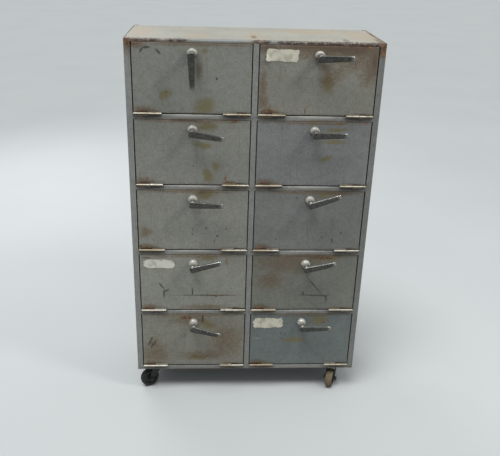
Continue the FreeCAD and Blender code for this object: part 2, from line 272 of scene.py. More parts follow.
def greatest(finish, masks):
    """The strongest of several masks at each place."""
    total = masks[0]
    for mask in masks[1:]:
        total = reckon(finish, "MAXIMUM", total, mask)
    return total


def relief(finish, shader, height, depth, strength=1.0):
    """Dent the surface by a height pattern, depth metres from lowest to highest."""
    node = add(finish, "Bump")
    feed(finish, node.inputs["Height"], height)
    feed(finish, node.inputs["Distance"], depth)
    feed(finish, node.inputs["Strength"], strength)
    feed(finish, shader.inputs["Normal"], node.outputs[0])


# %% [markdown]
# ## Worn grey paint
#
# The case and the flaps were sprayed with the same satin grey, and each has aged in its own way.
# One flat grey would look like plastic. Real old paint drifts slowly in tone, has finer mottling
# and a fine grain, and is darkened by runs of dirt. On top come the marks: rust that has eaten
# through, freckles of rust, oil stains around the levers, scuffs and rubbed places, with a painted
# highlight along each rail's top edge and a painted shadow below the hinges. Each kind of mark is
# one mask made of soft ellipsoids, so a mark is just a place, a size and a tilt. The narrow ledges
# round the flaps are given a near-black painted shade, which makes the gaps read as dark lines.

# %% Colours of paint and rust
# Each kind of mark has a colour, a strength, and a core that tells how far it stays solid.
paint_grey = (0.152, 0.154, 0.142)
rust_dark = (0.056, 0.030, 0.020)
rust_orange = (0.185, 0.086, 0.030)
freckle_brown = (0.088, 0.052, 0.034)
# Near black, a painted shade for the gaps round the flaps.
gap_shade_colour = (0.016, 0.015, 0.013)
# Dark brown, a painted shade for the undersides of hinges and levers.
underside_shade_colour = (0.045, 0.034, 0.024)
mark_kinds = {
    "rub": ((0.330, 0.335, 0.315), 0.50, 0.3),
    # A painted highlight along the rounded top edge of each rail.
    "lip_highlight": ((0.400, 0.395, 0.365), 0.55, 0.3),
    # Stains and scuffs are real marks; below the hinges they also make a painted shadow of the
    # barrels.
    "stain": ((0.078, 0.058, 0.036), 0.80, 0.1),
    "oil": ((0.122, 0.100, 0.034), 0.80, 0.25),
    "scuff_and_shadow": ((0.030, 0.028, 0.025), 0.88, 0.45),
}
rust_core = 0.2


def shade(colour, amount):
    """A lighter or darker version of a colour."""
    return tuple(value * amount for value in colour)


# %% Rust
def rusted(finish, place, colour, amount):
    """Lay rust over a colour, orange at its thin edges and dark where it is thick."""
    thick = cloud(finish, place, 150.0, 3.0)
    rust_colour = blend_colour(finish, fade(finish, thick, 0.42, 0.62), rust_dark, rust_orange)
    return blend_colour(finish, times(finish, amount, 0.88), colour, rust_colour)


def freckles(finish, place, mask):
    """Specks of rust, thick where a mask is strong."""
    lifted = add(finish, "Math", operation="MULTIPLY_ADD")
    feed(finish, lifted.inputs[0], mask)
    feed(finish, lifted.inputs[1], 0.16)
    feed(finish, lifted.inputs[2], cloud(finish, place, 360.0, 3.0, 0.75))
    return fade(finish, lifted.outputs[0], 0.60, 0.76)


# %% Painted sheet with its marks
def worn_paint(name, colour, marks, flap_box=None):
    """Old satin paint; each mark is (kind, centre, half size, tilt), and a flap wears at its edges."""
    finish, shader, place = new_finish(name)
    broad = cloud(finish, place, 5.0, 2.0)
    mottle = cloud(finish, place, 55.0, 5.0, 0.66)
    grain = cloud(finish, place, 280.0, 3.0, 0.75)
    runs = cloud(finish, stretched(finish, place, (90.0, 90.0, 7.0)), 1.0, 3.0, 0.6)
    ragged = cloud(finish, place, 85.0, 4.0, 0.65)

    speckle = cloud(finish, place, 165.0, 3.0, 0.7)

    light_tone = shade(colour, 1.08)
    colour = blend_colour(finish, fade(finish, broad, 0.3, 0.7), shade(colour, 0.94), light_tone)
    colour = tinted(finish, mottle, 0.35, 0.70, colour, (0.86, 0.85, 0.81))
    colour = tinted(finish, runs, 0.58, 0.75, colour, (0.84, 0.81, 0.75))
    colour = tinted(finish, speckle, 0.62, 0.38, colour, (1.20, 1.20, 1.19))
    colour = tinted(finish, speckle, 0.58, 0.72, colour, (0.80, 0.77, 0.71))
    colour = tinted(finish, grain, 0.62, 0.72, colour, (0.72, 0.70, 0.66))
    # The sheets round the flaps get painted shade on their ledges.
    if not flap_box:
        colour = painted_gap_shade(finish, place, colour)

    masks = {"rust": [], "freckle": []}
    for kind, centre, half_size, tilt in marks:
        core = mark_kinds[kind][2] if kind in mark_kinds else rust_core
        made = patch(finish, place, ragged, centre, half_size, tilt, core)
        masks.setdefault(kind, []).append(made)
    for kind in mark_kinds:
        if kind in masks:
            tint, strength = mark_kinds[kind][:2]
            amount = times(finish, greatest(finish, masks[kind]), strength)
            colour = blend_colour(finish, amount, colour, tint)

    rust = times(finish, fade(finish, grain, 0.74, 0.80), 0.6)
    if masks["freckle"]:
        freckled = greatest(finish, masks["freckle"])
        colour = blend_colour(finish, freckled, colour, (0.84, 0.74, 0.62), "MULTIPLY")
        specks = times(finish, freckles(finish, place, freckled), 0.95)
        colour = blend_colour(finish, specks, colour, freckle_brown)
    if masks["rust"]:
        broken = fade(finish, ragged, 0.28, 0.55)
        eaten = times(finish, greatest(finish, masks["rust"]), broken)
        rust = reckon(finish, "MAXIMUM", rust, fade(finish, eaten, 0.1, 0.8))
    if flap_box:
        rust = reckon(finish, "MAXIMUM", rust, edge_wear(finish, place, ragged, *flap_box))
    feed(finish, shader.inputs["Base Color"], rusted(finish, place, colour, rust))

    satin = between(finish, mottle, 0.40, 0.58)
    dull = times(finish, rust, 0.85)
    feed(finish, shader.inputs["Roughness"], reckon(finish, "MAXIMUM", satin, dull))
    height = times(finish, grain, 0.35)
    height = reckon(finish, "ADD", height, times(finish, rust, 0.5))
    relief(finish, shader, height, 0.0004)
    return finish


def painted_gap_shade(finish, place, colour):
    """Painted shade, near black, on the narrow ledges under and beside the flaps, so the gaps read as
    dark lines.
    """
    depth = axes(finish, place)["Y"]
    way = facing(finish)
    flat = fade(finish, way["Z"], 0.5, 0.9)
    upright = fade(finish, reckon(finish, "ABSOLUTE", way["X"]), 0.5, 0.9)
    ledge = reckon(finish, "MAXIMUM", flat, upright)
    near = fade(finish, depth, face_y + 0.016, face_y + 0.010)
    behind = fade(finish, depth, face_y + 0.0006, face_y + 0.0016)
    near = times(finish, near, behind)
    return blend_colour(finish, times(finish, ledge, near), colour, gap_shade_colour)


def edge_wear(finish, place, ragged, low, high):
    """Rust that creeps in from the edges of a flap."""
    centre = (low + high) / 2
    half = (high - low) / 2
    node = add(finish, "Mapping", vector_type="TEXTURE")
    feed(finish, node.inputs["Vector"], place)
    feed(finish, node.inputs["Location"], centre)
    size = add(finish, "VectorMath", operation="ABSOLUTE")
    feed(finish, size.inputs[0], node.outputs[0])
    out = axes(finish, size.outputs[0])
    side = fade(finish, out["X"], half.x - 0.004, half.x)
    top = fade(finish, out["Z"], half.z - 0.007, half.z)
    near = reckon(finish, "MAXIMUM", side, top)
    return times(finish, near, fade(finish, ragged, 0.52, 0.70))


# %% [markdown]
# ## The marks on each flap
#
# Every flap has its own history, so its marks are listed one by one. Each mark is a place across and
# up from the middle of the flap's bottom edge, half its width and height, and a tilt in degrees
# where it has one; lengths are in metres. Rust starts above the hinges, oil gathers right of the
# lever where fingers have pulled it, and tools have left scratches. A mark is kept shallow, so
# that it colours the front of the sheet and hardly shows inside.

# %% Marks, listed one by one
# Each flap's factor on the grey: its own tint of paint, with the left column made lighter and the
# right column darker as painted light and shade.
flap_tone_and_light = {
    "left_1": (1.00, 1.02, 1.00),
    "left_2": (1.04, 1.04, 1.02),
    "left_3": (1.09, 1.09, 1.06),
    "left_4": (1.17, 1.18, 1.13),
    "left_5": (1.06, 1.04, 0.96),
    "right_1": (0.99, 0.97, 0.93),
    "right_2": (0.89, 0.92, 1.00),
    "right_3": (0.80, 0.82, 0.86),
    "right_4": (0.78, 0.79, 0.75),
    "right_5": (0.65, 0.76, 0.81),
}
hinge_across = 0.131
common_marks = {
    # Beside each hinge, a dark band and line along the flap's foot: partly rust, partly painted shade
    # above the barrels.
    "stain": [(-hinge_across, 0.004, 0.056, 0.012), (hinge_across, 0.003, 0.056, 0.009)],
    "scuff_and_shadow": [(-hinge_across, 0.001, 0.050, 0.006), (hinge_across, 0.001, 0.050, 0.006)],
    "rust": [(-0.150, 0.006, 0.024, 0.006)],
    "freckle": [(-0.145, 0.012, 0.040, 0.016), (0.000, 0.199, 0.210, 0.010)],
}
flap_marks = {
    "left_1": {
        "oil": [(0.038, 0.024, 0.046, 0.034, 30), (0.040, 0.020, 0.034, 0.026, 20),
                (0.037, 0.181, 0.014, 0.013), (-0.080, 0.055, 0.030, 0.020, 40)],
        "scuff_and_shadow": [(-0.143, 0.181, 0.013, 0.004, 55), (-0.130, 0.188, 0.015, 0.005, 8),
                  (-0.096, 0.177, 0.014, 0.0042, -48), (-0.075, 0.063, 0.0035, 0.003),
                  (0.071, 0.103, 0.0043, 0.0043)],
        "freckle": [(-0.160, 0.196, 0.050, 0.018), (0.125, 0.199, 0.060, 0.008)],
        "rust": [(-0.162, 0.198, 0.022, 0.006)],
        "stain": [(0.020, 0.130, 0.016, 0.050)],
    },
    "left_2": {
        "oil": [(0.046, 0.184, 0.040, 0.018, 5), (0.047, 0.028, 0.020, 0.034, 25),
                (0.070, 0.060, 0.016, 0.026, 20), (0.030, 0.125, 0.040, 0.014, -8)],
        "rust": [(0.112, 0.008, 0.030, 0.011), (0.100, 0.022, 0.006, 0.014),
                 (0.124, 0.199, 0.026, 0.006)],
        "scuff_and_shadow": [(-0.020, 0.2005, 0.060, 0.0037), (0.002, 0.060, 0.003, 0.003)],
    },
    "left_3": {
        "oil": [(0.042, 0.187, 0.042, 0.022, 20)],
        "stain": [(0.030, 0.196, 0.030, 0.012, 25)],
        "scuff_and_shadow": [(0.077, 0.048, 0.005, 0.0055), (-0.002, 0.054, 0.003, 0.004),
                  (-0.001, 0.071, 0.0034, 0.003), (0.041, 0.075, 0.0034, 0.005),
                  (-0.097, 0.002, 0.004, 0.004)],
        "rust": [(0.068, 0.030, 0.003, 0.014), (0.105, 0.073, 0.003, 0.008),
                 (-0.166, 0.010, 0.006, 0.012), (-0.147, 0.006, 0.004, 0.009)],
        "freckle": [(-0.150, 0.060, 0.030, 0.030)],
    },
    "left_4": {
        "scuff_and_shadow": [(-0.104, 0.089, 0.018, 0.0036, -52), (-0.096, 0.062, 0.0042, 0.024),
                  (-0.088, 0.071, 0.014, 0.0036, 30), (-0.003, 0.065, 0.0042, 0.020),
                  (0.040, 0.054, 0.140, 0.0026), (0.075, 0.049, 0.005, 0.0034)],
        "rust": [(0.085, 0.053, 0.110, 0.003, 1), (-0.150, 0.192, 0.026, 0.004),
                 (0.107, 0.057, 0.003, 0.004)],
        "oil": [(0.108, 0.176, 0.009, 0.018), (0.050, 0.190, 0.040, 0.012, 5)],
        "freckle": [(0.040, 0.010, 0.120, 0.014)],
    },
    "left_5": {
        "rust": [(-0.025, 0.190, 0.036, 0.010), (0.103, 0.096, 0.004, 0.012, -12)],
        "freckle": [(-0.020, 0.180, 0.090, 0.030), (-0.132, 0.088, 0.034, 0.034),
                    (0.110, 0.100, 0.090, 0.100), (-0.130, 0.050, 0.070, 0.070),
                    (0.040, 0.040, 0.130, 0.030)],
        "oil": [(0.048, 0.162, 0.042, 0.024, -20), (0.045, 0.158, 0.026, 0.014, -20),
                (0.010, 0.030, 0.050, 0.014)],
        "scuff_and_shadow": [(0.031, 0.188, 0.0044, 0.022), (-0.147, 0.096, 0.0044, 0.026, -22),
                  (-0.140, 0.080, 0.0044, 0.020, -28), (-0.131, 0.088, 0.0036, 0.014, -10),
                  (0.046, 0.035, 0.004, 0.003), (-0.028, 0.121, 0.003, 0.003)],
    },
    "right_1": {
        "freckle": [(0.000, 0.196, 0.260, 0.050), (0.110, 0.175, 0.130, 0.075),
                    (0.150, 0.140, 0.050, 0.080), (0.050, 0.120, 0.060, 0.040, 30),
                    (-0.160, 0.080, 0.020, 0.090), (-0.160, 0.040, 0.030, 0.040)],
        "stain": [(0.080, 0.204, 0.200, 0.040), (0.010, 0.200, 0.220, 0.018),
                  (-0.150, 0.194, 0.048, 0.024), (0.022, 0.142, 0.036, 0.022, -20),
                  (0.110, 0.196, 0.120, 0.030), (0.162, 0.160, 0.016, 0.060)],
        "rust": [(0.120, 0.200, 0.080, 0.004), (-0.033, 0.014, 0.004, 0.014),
                 (-0.142, 0.010, 0.036, 0.010), (-0.137, 0.022, 0.004, 0.014),
                 (-0.097, 0.130, 0.003, 0.004), (0.087, 0.133, 0.003, 0.003)],
        "oil": [(0.028, 0.095, 0.026, 0.046, 15)],
    },
    "right_2": {
        "oil": [(0.070, 0.177, 0.046, 0.009, 3), (-0.004, 0.198, 0.012, 0.008),
                (0.080, 0.197, 0.026, 0.006), (0.042, 0.088, 0.028, 0.012, 20),
                (0.060, 0.140, 0.050, 0.010)],
        "rust": [(0.155, 0.199, 0.014, 0.004), (-0.150, 0.199, 0.016, 0.003)],
    },
    "right_3": {
        "oil": [(0.048, 0.189, 0.040, 0.011, 8)],
        "rust": [(0.098, 0.186, 0.016, 0.006, 20)],
        "scuff_and_shadow": [(0.108, 0.062, 0.004, 0.0045), (-0.100, 0.038, 0.003, 0.003),
                  (0.048, 0.045, 0.0034, 0.005, 20), (0.082, 0.034, 0.0031, 0.012),
                  (-0.040, 0.181, 0.004, 0.003)],
        "stain": [(0.090, 0.196, 0.080, 0.014)],
    },
    "right_4": {
        "freckle": [(-0.060, 0.172, 0.170, 0.060), (-0.110, 0.110, 0.070, 0.060)],
        "stain": [(0.010, 0.200, 0.190, 0.008)],
        "oil": [(-0.145, 0.178, 0.016, 0.005), (0.070, 0.189, 0.050, 0.013)],
        "rust": [(0.060, 0.192, 0.070, 0.007)],
        "scuff_and_shadow": [(0.036, 0.090, 0.052, 0.0028, -51), (0.000, 0.061, 0.0038, 0.012),
                  (0.038, 0.0535, 0.064, 0.0032, -2), (0.078, 0.042, 0.0046, 0.017, 8),
                  (0.070, 0.052, 0.012, 0.004, -20)],
    },
    "right_5": {
        "oil": [(0.062, 0.180, 0.040, 0.026), (0.060, 0.172, 0.026, 0.018),
                (-0.020, 0.100, 0.060, 0.016)],
        "rust": [(0.076, 0.170, 0.010, 0.005)],
        "rub": [(-0.145, 0.106, 0.024, 0.0022, 6)],
        "scuff_and_shadow": [(-0.067, 0.127, 0.0028, 0.005), (-0.052, 0.121, 0.0034, 0.004),
                  (-0.064, 0.106, 0.0043, 0.004, -20), (0.130, 0.092, 0.003, 0.003)],
    },
}
mark_count = sum(len(marks) for kinds in flap_marks.values() for marks in kinds.values())
print(mark_count, "marks on", len(flap_marks), "flaps")

# %% Flap finishes
mark_depth = 0.003
flap_finish = {}
for door in doors:
    colour = tuple(base * part for base, part in zip(paint_grey, flap_tone_and_light[door]))
    marks = []
    for table in (flap_marks[door], common_marks):
        for kind, places in table.items():
            for across, up, half_across, half_up, *tilt in places:
                half_size = (half_across, mark_depth, half_up)
                marks.append((kind, door_point(door, across, up), half_size, sum(tilt)))
    flap_finish[door] = worn_paint("flap_paint_" + door, colour, marks, door_box[door])
print(len(flap_finish), "flap finishes")

# %% [markdown]
# ## The case
#
# The case parts keep their CAD shape, which is already folded and rounded like the real sheet. They
# only need their finish. The frame is the same grey, a little cooler where it was never handled,
# with a painted highlight along each rail's top edge, a painted shadow with a rust tint below the
# hinges, and rust where the case is low. The left side is painted lighter and the right side
# darker, as painted light and shade.
# Marks on the frame reach a fold's depth inwards, and no further, or they would show at the back.

# %% Frame paint
frame_grey = (0.158, 0.164, 0.158)
rail_height = 0.015
sill_gap = 0.003
fold_depth = 0.030
frame_marks = []
for door in doors:
    low, high = door_box[door]
    middle_x = (low.x + high.x) / 2
    sill = low.z - sill_gap
    row = int(door[-1])
    rail_marks = [
        ("rust", -0.150, 0.004, 0.030, 0.006),
        ("freckle", 0.020, rail_height - 0.001, 0.190, 0.005),
    ]
    if row < 5:
        # A painted highlight along the rail's rounded top edge, thinner on the lower rails.
        rail_marks.append(("lip_highlight", 0.0, 0.002, 0.105, 0.0070 - 0.0011 * row))
    # Below each hinge, a dark stain and a darker band on the rail: a painted shadow of the barrels,
    # with a rust tint.
    for side in (-1, 1):
        rail_marks.append(("stain", side * hinge_across, 0.0075, 0.066, 0.013))
        rail_marks.append(("scuff_and_shadow", side * hinge_across, 0.0050, 0.052, 0.0075))
    for kind, across, down, half_across, half_up in rail_marks:
        centre = Vector((middle_x + across, face_y, sill - down))
        frame_marks.append((kind, centre, (half_across, fold_depth, half_up), 0))
frame_finish = worn_paint("frame_paint", frame_grey, frame_marks)

# %% Sides and back
left_top = Vector((-half_width + 0.012, face_y, roof_z - 0.008))
right_top = Vector((half_width - 0.006, face_y, roof_z - 0.014))
side_marks = {
    -1: [
        ("rust", left_top, (0.024, 0.040, 0.022), 0),
        ("freckle", left_top, (0.030, 0.040, 0.060), 0),
        ("rust", Vector((-half_width + 0.010, face_y, case_foot + 0.004)), (0.012, 0.030, 0.005), 0),
        ("scuff_and_shadow", Vector((-half_width, 0.0, roof_z + 0.001)), (0.010, 0.200, 0.0035), 0),
        ("scuff_and_shadow", Vector((-half_width + 0.020, face_y, 0.62)), (0.004, 0.030, 0.010), 0),
        ("scuff_and_shadow", Vector((-half_width + 0.020, face_y, 0.585)), (0.003, 0.030, 0.006), 0),
    ],
    1: [
        ("rust", right_top, (0.018, 0.040, 0.046), 0),
        ("scuff_and_shadow", right_top, (0.020, 0.040, 0.030), 0),
        ("rust", Vector((half_width, 0.0, roof_z)), (0.010, 0.200, 0.008), 0),
        ("rust", Vector((half_width - 0.010, face_y, case_foot + 0.004)), (0.010, 0.030, 0.004), 0),
    ],
}
outer_marks = [
    ("freckle", 0.020, case_foot, 0.200, 0.050),
    ("scuff_and_shadow", 0.040, 0.700, 0.050, 0.0036),
    ("rub", 0.070, 0.560, 0.070, 0.0060),
    ("scuff_and_shadow", -0.020, 0.420, 0.0040, 0.036),
    ("rust", 0.120, case_foot, 0.050, 0.010),
]
wall_marks = [
    ("stain", 0.100, 1.050, 0.120, 0.080, 15),
    ("scuff_and_shadow", -0.120, 0.620, 0.120, 0.0036, -18),
    ("scuff_and_shadow", -0.060, 0.560, 0.080, 0.0032, -24),
    ("rub", 0.150, 0.480, 0.090, 0.0080, 8),
    ("freckle", 0.000, roof_z, 0.400, 0.030, 0),
]
back_marks = []
for side in (-1, 1):
    foot = side * (half_width - 0.030)
    wall_marks.append(("rust", foot, case_foot + 0.006, 0.060, 0.012, 0))
    wall_marks.append(("freckle", foot, case_foot + 0.006, 0.150, 0.050, 0))
    for kind, deep, height, half_deep, half_up in outer_marks:
        centre = Vector((side * half_width, deep, height))
        side_marks[side].append((kind, centre, (0.010, half_deep, half_up), 0))
for kind, across, height, half_across, half_up, tilt in wall_marks:
    centre = Vector((across, case_back, height))
    back_marks.append((kind, centre, (half_across, 0.020, half_up), tilt))
back_finish = worn_paint("back_paint", shade(frame_grey, 0.95), back_marks)
# The left side is painted lighter and the right side darker: painted light and shade on the same grey.
left_side_lit_finish = worn_paint("left_side_lit_paint", shade(frame_grey, 1.06), side_marks[-1])
right_side_shaded_finish = worn_paint("right_side_shaded_paint", shade(frame_grey, 0.77), side_marks[1])
print(len(back_marks), "marks on the back and", len(side_marks[-1]), "on the left side")


def dress(node, finish):
    """Give a CAD node its finish."""
    frame["nodes"][node].data.materials.clear()
    frame["nodes"][node].data.materials.append(finish)


for node in ("shelves", "centre_partition", "floor_panel", "latch_keepers"):
    dress(node, frame_finish)
dress("back_panel", back_finish)
dress("left_side", left_side_lit_finish)
dress("right_side", right_side_shaded_finish)

# %% [markdown]
# ## The roof
#
# The roof was sprayed a paler grey and has faded warm. Its front fold has taken every knock, so the
# paint there is broken to bare dark metal in ragged chips, with rust running along the header
# below. The chips are the same kind of mark, but broken up by a noise stretched along the fold.

# %% Marks on the roof
# Each mark is across from the middle, back from the front fold, then half its width and depth. On
# the header the second number is its height instead.
roof_grey = (0.258, 0.258, 0.226)
roof_marks = [
    ("warm", 0.000, 0.100, 0.040, 0.110),
    ("warm", -0.340, 0.150, 0.050, 0.160),
    ("warm", 0.330, 0.160, 0.060, 0.150),
    ("warm", 0.180, 0.230, 0.140, 0.080),
    ("warm", -0.170, 0.090, 0.050, 0.070),
    ("rust", -0.003, 0.085, 0.012, 0.045),
    ("rust", 0.266, 0.055, 0.012, 0.040),
    ("rust", 0.372, 0.040, 0.026, 0.120),
    ("rust", 0.372, 0.180, 0.010, 0.120),
    ("rust", -0.366, 0.016, 0.026, 0.030),
    ("blue", -0.100, 0.004, 0.120, 0.036),
    ("blue", 0.060, 0.002, 0.080, 0.024),
    ("grime", 0.000, 0.000, 0.460, 0.040),
    ("chip", -0.315, 0.006, 0.050, 0.020),
    ("chip", -0.225, 0.006, 0.040, 0.020),
    ("chip", 0.016, 0.002, 0.034, 0.030),
    ("chip", 0.100, 0.002, 0.050, 0.022),
    ("chip", 0.200, 0.002, 0.100, 0.026),
    ("chip", 0.285, 0.002, 0.090, 0.026),
    ("chip", 0.350, 0.002, 0.050, 0.024),
]
roof_colours = {
    "warm": ((0.285, 0.232, 0.168), 0.60),
    "grime": ((0.150, 0.136, 0.108), 0.75),
    "blue": ((0.175, 0.198, 0.212), 0.85),
    "brown": ((0.150, 0.092, 0.048), 0.75),
    "chip": ((0.036, 0.022, 0.018), 0.96),
}
header_marks = [
    ("rust", -0.345, 1.190, 0.060, 0.014),
    ("rust", -0.070, 1.188, 0.120, 0.008),
    ("rust", -0.098, 1.188, 0.020, 0.010),
    ("rust", 0.010, 1.192, 0.040, 0.014),
    ("rust", 0.230, 1.189, 0.190, 0.010),
    ("brown", -0.290, 1.190, 0.110, 0.018),
    ("brown", -0.060, 1.189, 0.150, 0.010),
    ("brown", 0.160, 1.190, 0.260, 0.014),
    ("brown", 0.320, 1.194, 0.110, 0.018),
    ("chip", 0.250, 1.199, 0.150, 0.010),
    ("grime", 0.000, 1.187, 0.460, 0.009),
]
print(len(roof_marks), "marks on the roof and", len(header_marks), "on its header")


# %% Roof paint
def roof_paint():
    """Pale paint, tinted by old rust and chipped to dark steel along the front fold."""
    finish, shader, place = new_finish("roof_paint")
    broad = cloud(finish, place, 9.0, 3.0)
    mottle = cloud(finish, place, 60.0, 4.0, 0.65)
    grain = cloud(finish, place, 260.0, 3.0, 0.7)
    chips = cloud(finish, stretched(finish, place, (130.0, 26.0, 110.0)), 1.0, 3.0, 0.7)
    ragged = cloud(finish, place, 85.0, 4.0, 0.65)
    pale = shade(roof_grey, 1.06)
    colour = blend_colour(finish, fade(finish, broad, 0.35, 0.65), shade(roof_grey, 0.95), pale)
    colour = tinted(finish, mottle, 0.42, 0.70, colour, (0.92, 0.87, 0.80))
    colour = tinted(finish, grain, 0.60, 0.70, colour, (0.84, 0.82, 0.78))
    fold = fade(finish, axes(finish, place)["Z"], roof_z - 0.0012, roof_z - 0.0035)
    colour = blend_colour(finish, fold, colour, shade(frame_grey, 1.02))
    masks = {}
    for kind, across, back, half_across, half_back in roof_marks:
        centre = Vector((across, face_y + back, roof_z))
        core = 0.7 if kind == "chip" else 0.35
        made = patch(finish, place, ragged, centre, (half_across, half_back, 0.010), 0.0, core)
        masks.setdefault(kind, []).append(made)
    for kind, across, height, half_across, half_up in header_marks:
        centre = Vector((across, face_y, height))
        made = patch(finish, place, ragged, centre, (half_across, 0.020, half_up), 0.0, 0.1)
        masks.setdefault(kind, []).append(made)
    broken = fade(finish, chips, 0.42, 0.48)
    for kind, (tint, strength) in roof_colours.items():
        amount = times(finish, greatest(finish, masks[kind]), strength)
        if kind in ("blue", "chip"):
            amount = times(finish, amount, broken)
        colour = blend_colour(finish, amount, colour, tint)
    eaten = fade(finish, ragged, 0.32, 0.56)
    rust = times(finish, greatest(finish, masks["rust"]), eaten)
    feed(finish, shader.inputs["Base Color"], rusted(finish, place, colour, rust))
    feed(finish, shader.inputs["Roughness"], 0.52)
    height = times(finish, grain, 0.3)
    height = reckon(finish, "ADD", height, times(finish, rust, 0.6))
    relief(finish, shader, height, 0.0004)
    return finish


dress("top_panel", roof_paint())

# %% [markdown]
# ## Bare and plated steel
#
# The hinge barrels are turned steel that has gone cream and brown, the levers are plated castings
# with pits in the plating, and the caster forks are black and dusty. Plain metal has one recipe,
# whose brightness, roughness and tarnish all follow noise of a few sizes. The hinges and the levers
# need more, so each has a recipe of its own, and both are darkened with a painted shade where they
# face down.

# %% Steel finish
def painted_shade_below(finish, colour, strength):
    """Paint shade onto a colour on the sides of a piece that face down."""
    below = fade(finish, facing(finish)["Z"], 0.35, -0.30)
    return blend_colour(finish, times(finish, below, strength), colour, underside_shade_colour)


def steel(name, bright, tarnish, roughness, tarnish_share, metallic=1.0):
    """Metal with tarnish in patches and fine pits."""
    finish, shader, place = new_finish(name)
    cloudy = cloud(finish, place, 60.0, 4.0, 0.65)
    pits = cloud(finish, place, 260.0, 4.0, 0.75)
    patches = fade(finish, cloudy, 0.72 - tarnish_share * 0.4, 0.84 - tarnish_share * 0.4)
    dark = reckon(finish, "MAXIMUM", patches, fade(finish, pits, 0.60, 0.72))
    colour = blend_colour(finish, dark, bright, tarnish)
    feed(finish, shader.inputs["Base Color"], colour)
    shader.inputs["Metallic"].default_value = metallic
    feed(finish, shader.inputs["Roughness"], between(finish, dark, roughness, roughness + 0.3))
    relief(finish, shader, pits, 0.0002, 0.6)
    return finish


def lever_plating():
    """Dull nickel, pale on the ball, darker on the arm and darkest at its front, partly worn plating
    and partly a painted dark reflection, with painted shade underneath.
    """
    finish, shader, place = new_finish("lever_plating")
    depth = axes(finish, place)["Y"]
    cloudy = cloud(finish, place, 60.0, 4.0, 0.7)
    pits = cloud(finish, place, 420.0, 3.0, 0.7)
    flecks = cloud(finish, place, 170.0, 3.0, 0.6)
    arm = fade(finish, depth, cad_low.y + 0.030, cad_low.y + 0.014)
    front = fade(finish, depth, cad_low.y + 0.0026, cad_low.y + 0.0007)
    pale = fade(finish, cloudy, 0.3, 0.7)
    colour = blend_colour(finish, pale, (0.42, 0.42, 0.38), (0.62, 0.62, 0.58))
    # The arm is darker than the ball and its front darker still: partly worn plating, partly a painted
    # dark reflection of the room in front.
    colour = blend_colour(finish, times(finish, arm, 0.6), colour, (0.42, 0.42, 0.39))
    worn = reckon(finish, "MAXIMUM", fade(finish, flecks, 0.66, 0.46), 0.86)
    worn_front_and_reflection = times(finish, times(finish, front, worn), 0.92)
    colour = blend_colour(finish, worn_front_and_reflection, colour, (0.040, 0.047, 0.046))
    dark = times(finish, fade(finish, pits, 0.60, 0.72), 0.7)
    colour = blend_colour(finish, dark, colour, (0.090, 0.085, 0.075))
    feed(finish, shader.inputs["Base Color"], painted_shade_below(finish, colour, 0.75))
    feed(finish, shader.inputs["Metallic"], between(finish, arm, 0.55, 0.92))
    feed(finish, shader.inputs["Roughness"], between(finish, arm, 0.36, 0.27))
    relief(finish, shader, pits, 0.0002, 0.6)
    return finish


def hinge_steel():
    """Turned steel, cream where it is handled, brown in patches, and black underneath as painted
    shade.
    """
    finish, shader, place = new_finish("hinge_steel")
    where = cloud(finish, place, 9.0, 2.0)
    cloudy = cloud(finish, place, 70.0, 4.0, 0.65)
    scratches = cloud(finish, stretched(finish, place, (60.0, 700.0, 700.0)), 1.0, 3.0, 0.6)
    turned_lines = fade(finish, scratches, 0.35, 0.65)
    colour = blend_colour(finish, turned_lines, (0.31, 0.295, 0.245), (0.44, 0.425, 0.37))
    browned = times(finish, fade(finish, where, 0.42, 0.62), 0.75)
    colour = blend_colour(finish, browned, colour, (0.20, 0.155, 0.090))
    spots = times(finish, fade(finish, cloudy, 0.55, 0.68), 0.7)
    colour = blend_colour(finish, spots, colour, (0.130, 0.078, 0.036))
    feed(finish, shader.inputs["Base Color"], painted_shade_below(finish, colour, 1.0))
    shader.inputs["Metallic"].default_value = 0.7
    feed(finish, shader.inputs["Roughness"], between(finish, cloudy, 0.30, 0.62))
    relief(finish, shader, scratches, 0.0002, 0.6)
    return finish


# %% Dressing the hinges, latches and casters
hinge_finish = hinge_steel()
pin_finish = steel("pin_steel", (0.26, 0.14, 0.07), (0.10, 0.05, 0.03), 0.60, 0.5, 0.6)
latch_finish = steel("latch_steel", (0.55, 0.55, 0.52), (0.25, 0.22, 0.18), 0.40, 0.3)
bolt_finish = steel("bolt_steel", (0.50, 0.48, 0.44), (0.22, 0.15, 0.10), 0.45, 0.4)
caster_finish = steel("caster_steel", (0.014, 0.014, 0.014), (0.050, 0.038, 0.026), 0.46, 0.30, 0.2)
lever_finish = lever_plating()
steel_nodes = {
    "frame_hinge_barrels": hinge_finish,
    "hinge_pins": pin_finish,
    "caster_plates": caster_finish,
    "caster_bolts": bolt_finish,
}
for door in doors:
    steel_nodes["flap_fittings_" + door] = hinge_finish
    steel_nodes["latch_cam_" + door] = latch_finish
for corner in corners:
    steel_nodes["caster_fork_" + corner] = caster_finish
for node, finish in steel_nodes.items():
    dress(node, finish)
print("steel finishes on", len(steel_nodes), "nodes")

# %% [markdown]
# ## From a bmesh to a piece
#
# A bmesh is Blender's workbench mesh: shapes are made in it with operators, then written to an
# object. This helper does the writing, smooths the shading but keeps folds crisp, and tells the
# frame which body the piece rides on.

# %% Writing a piece
def finished_piece(name, shape, finish, body, crease=40.0):
    """Turn a bmesh into an object in place, riding on a body."""
    mesh = bpy.data.meshes.new(name)
    shape.to_mesh(mesh)
    shape.free()
    mesh.polygons.foreach_set("use_smooth", [True] * len(mesh.polygons))
    mesh.set_sharp_from_angle(angle=math.radians(crease))
    mesh.materials.append(finish)
    made = bpy.data.objects.new(name, mesh)
    bpy.context.scene.collection.objects.link(made)
    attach(made, body)
    return made


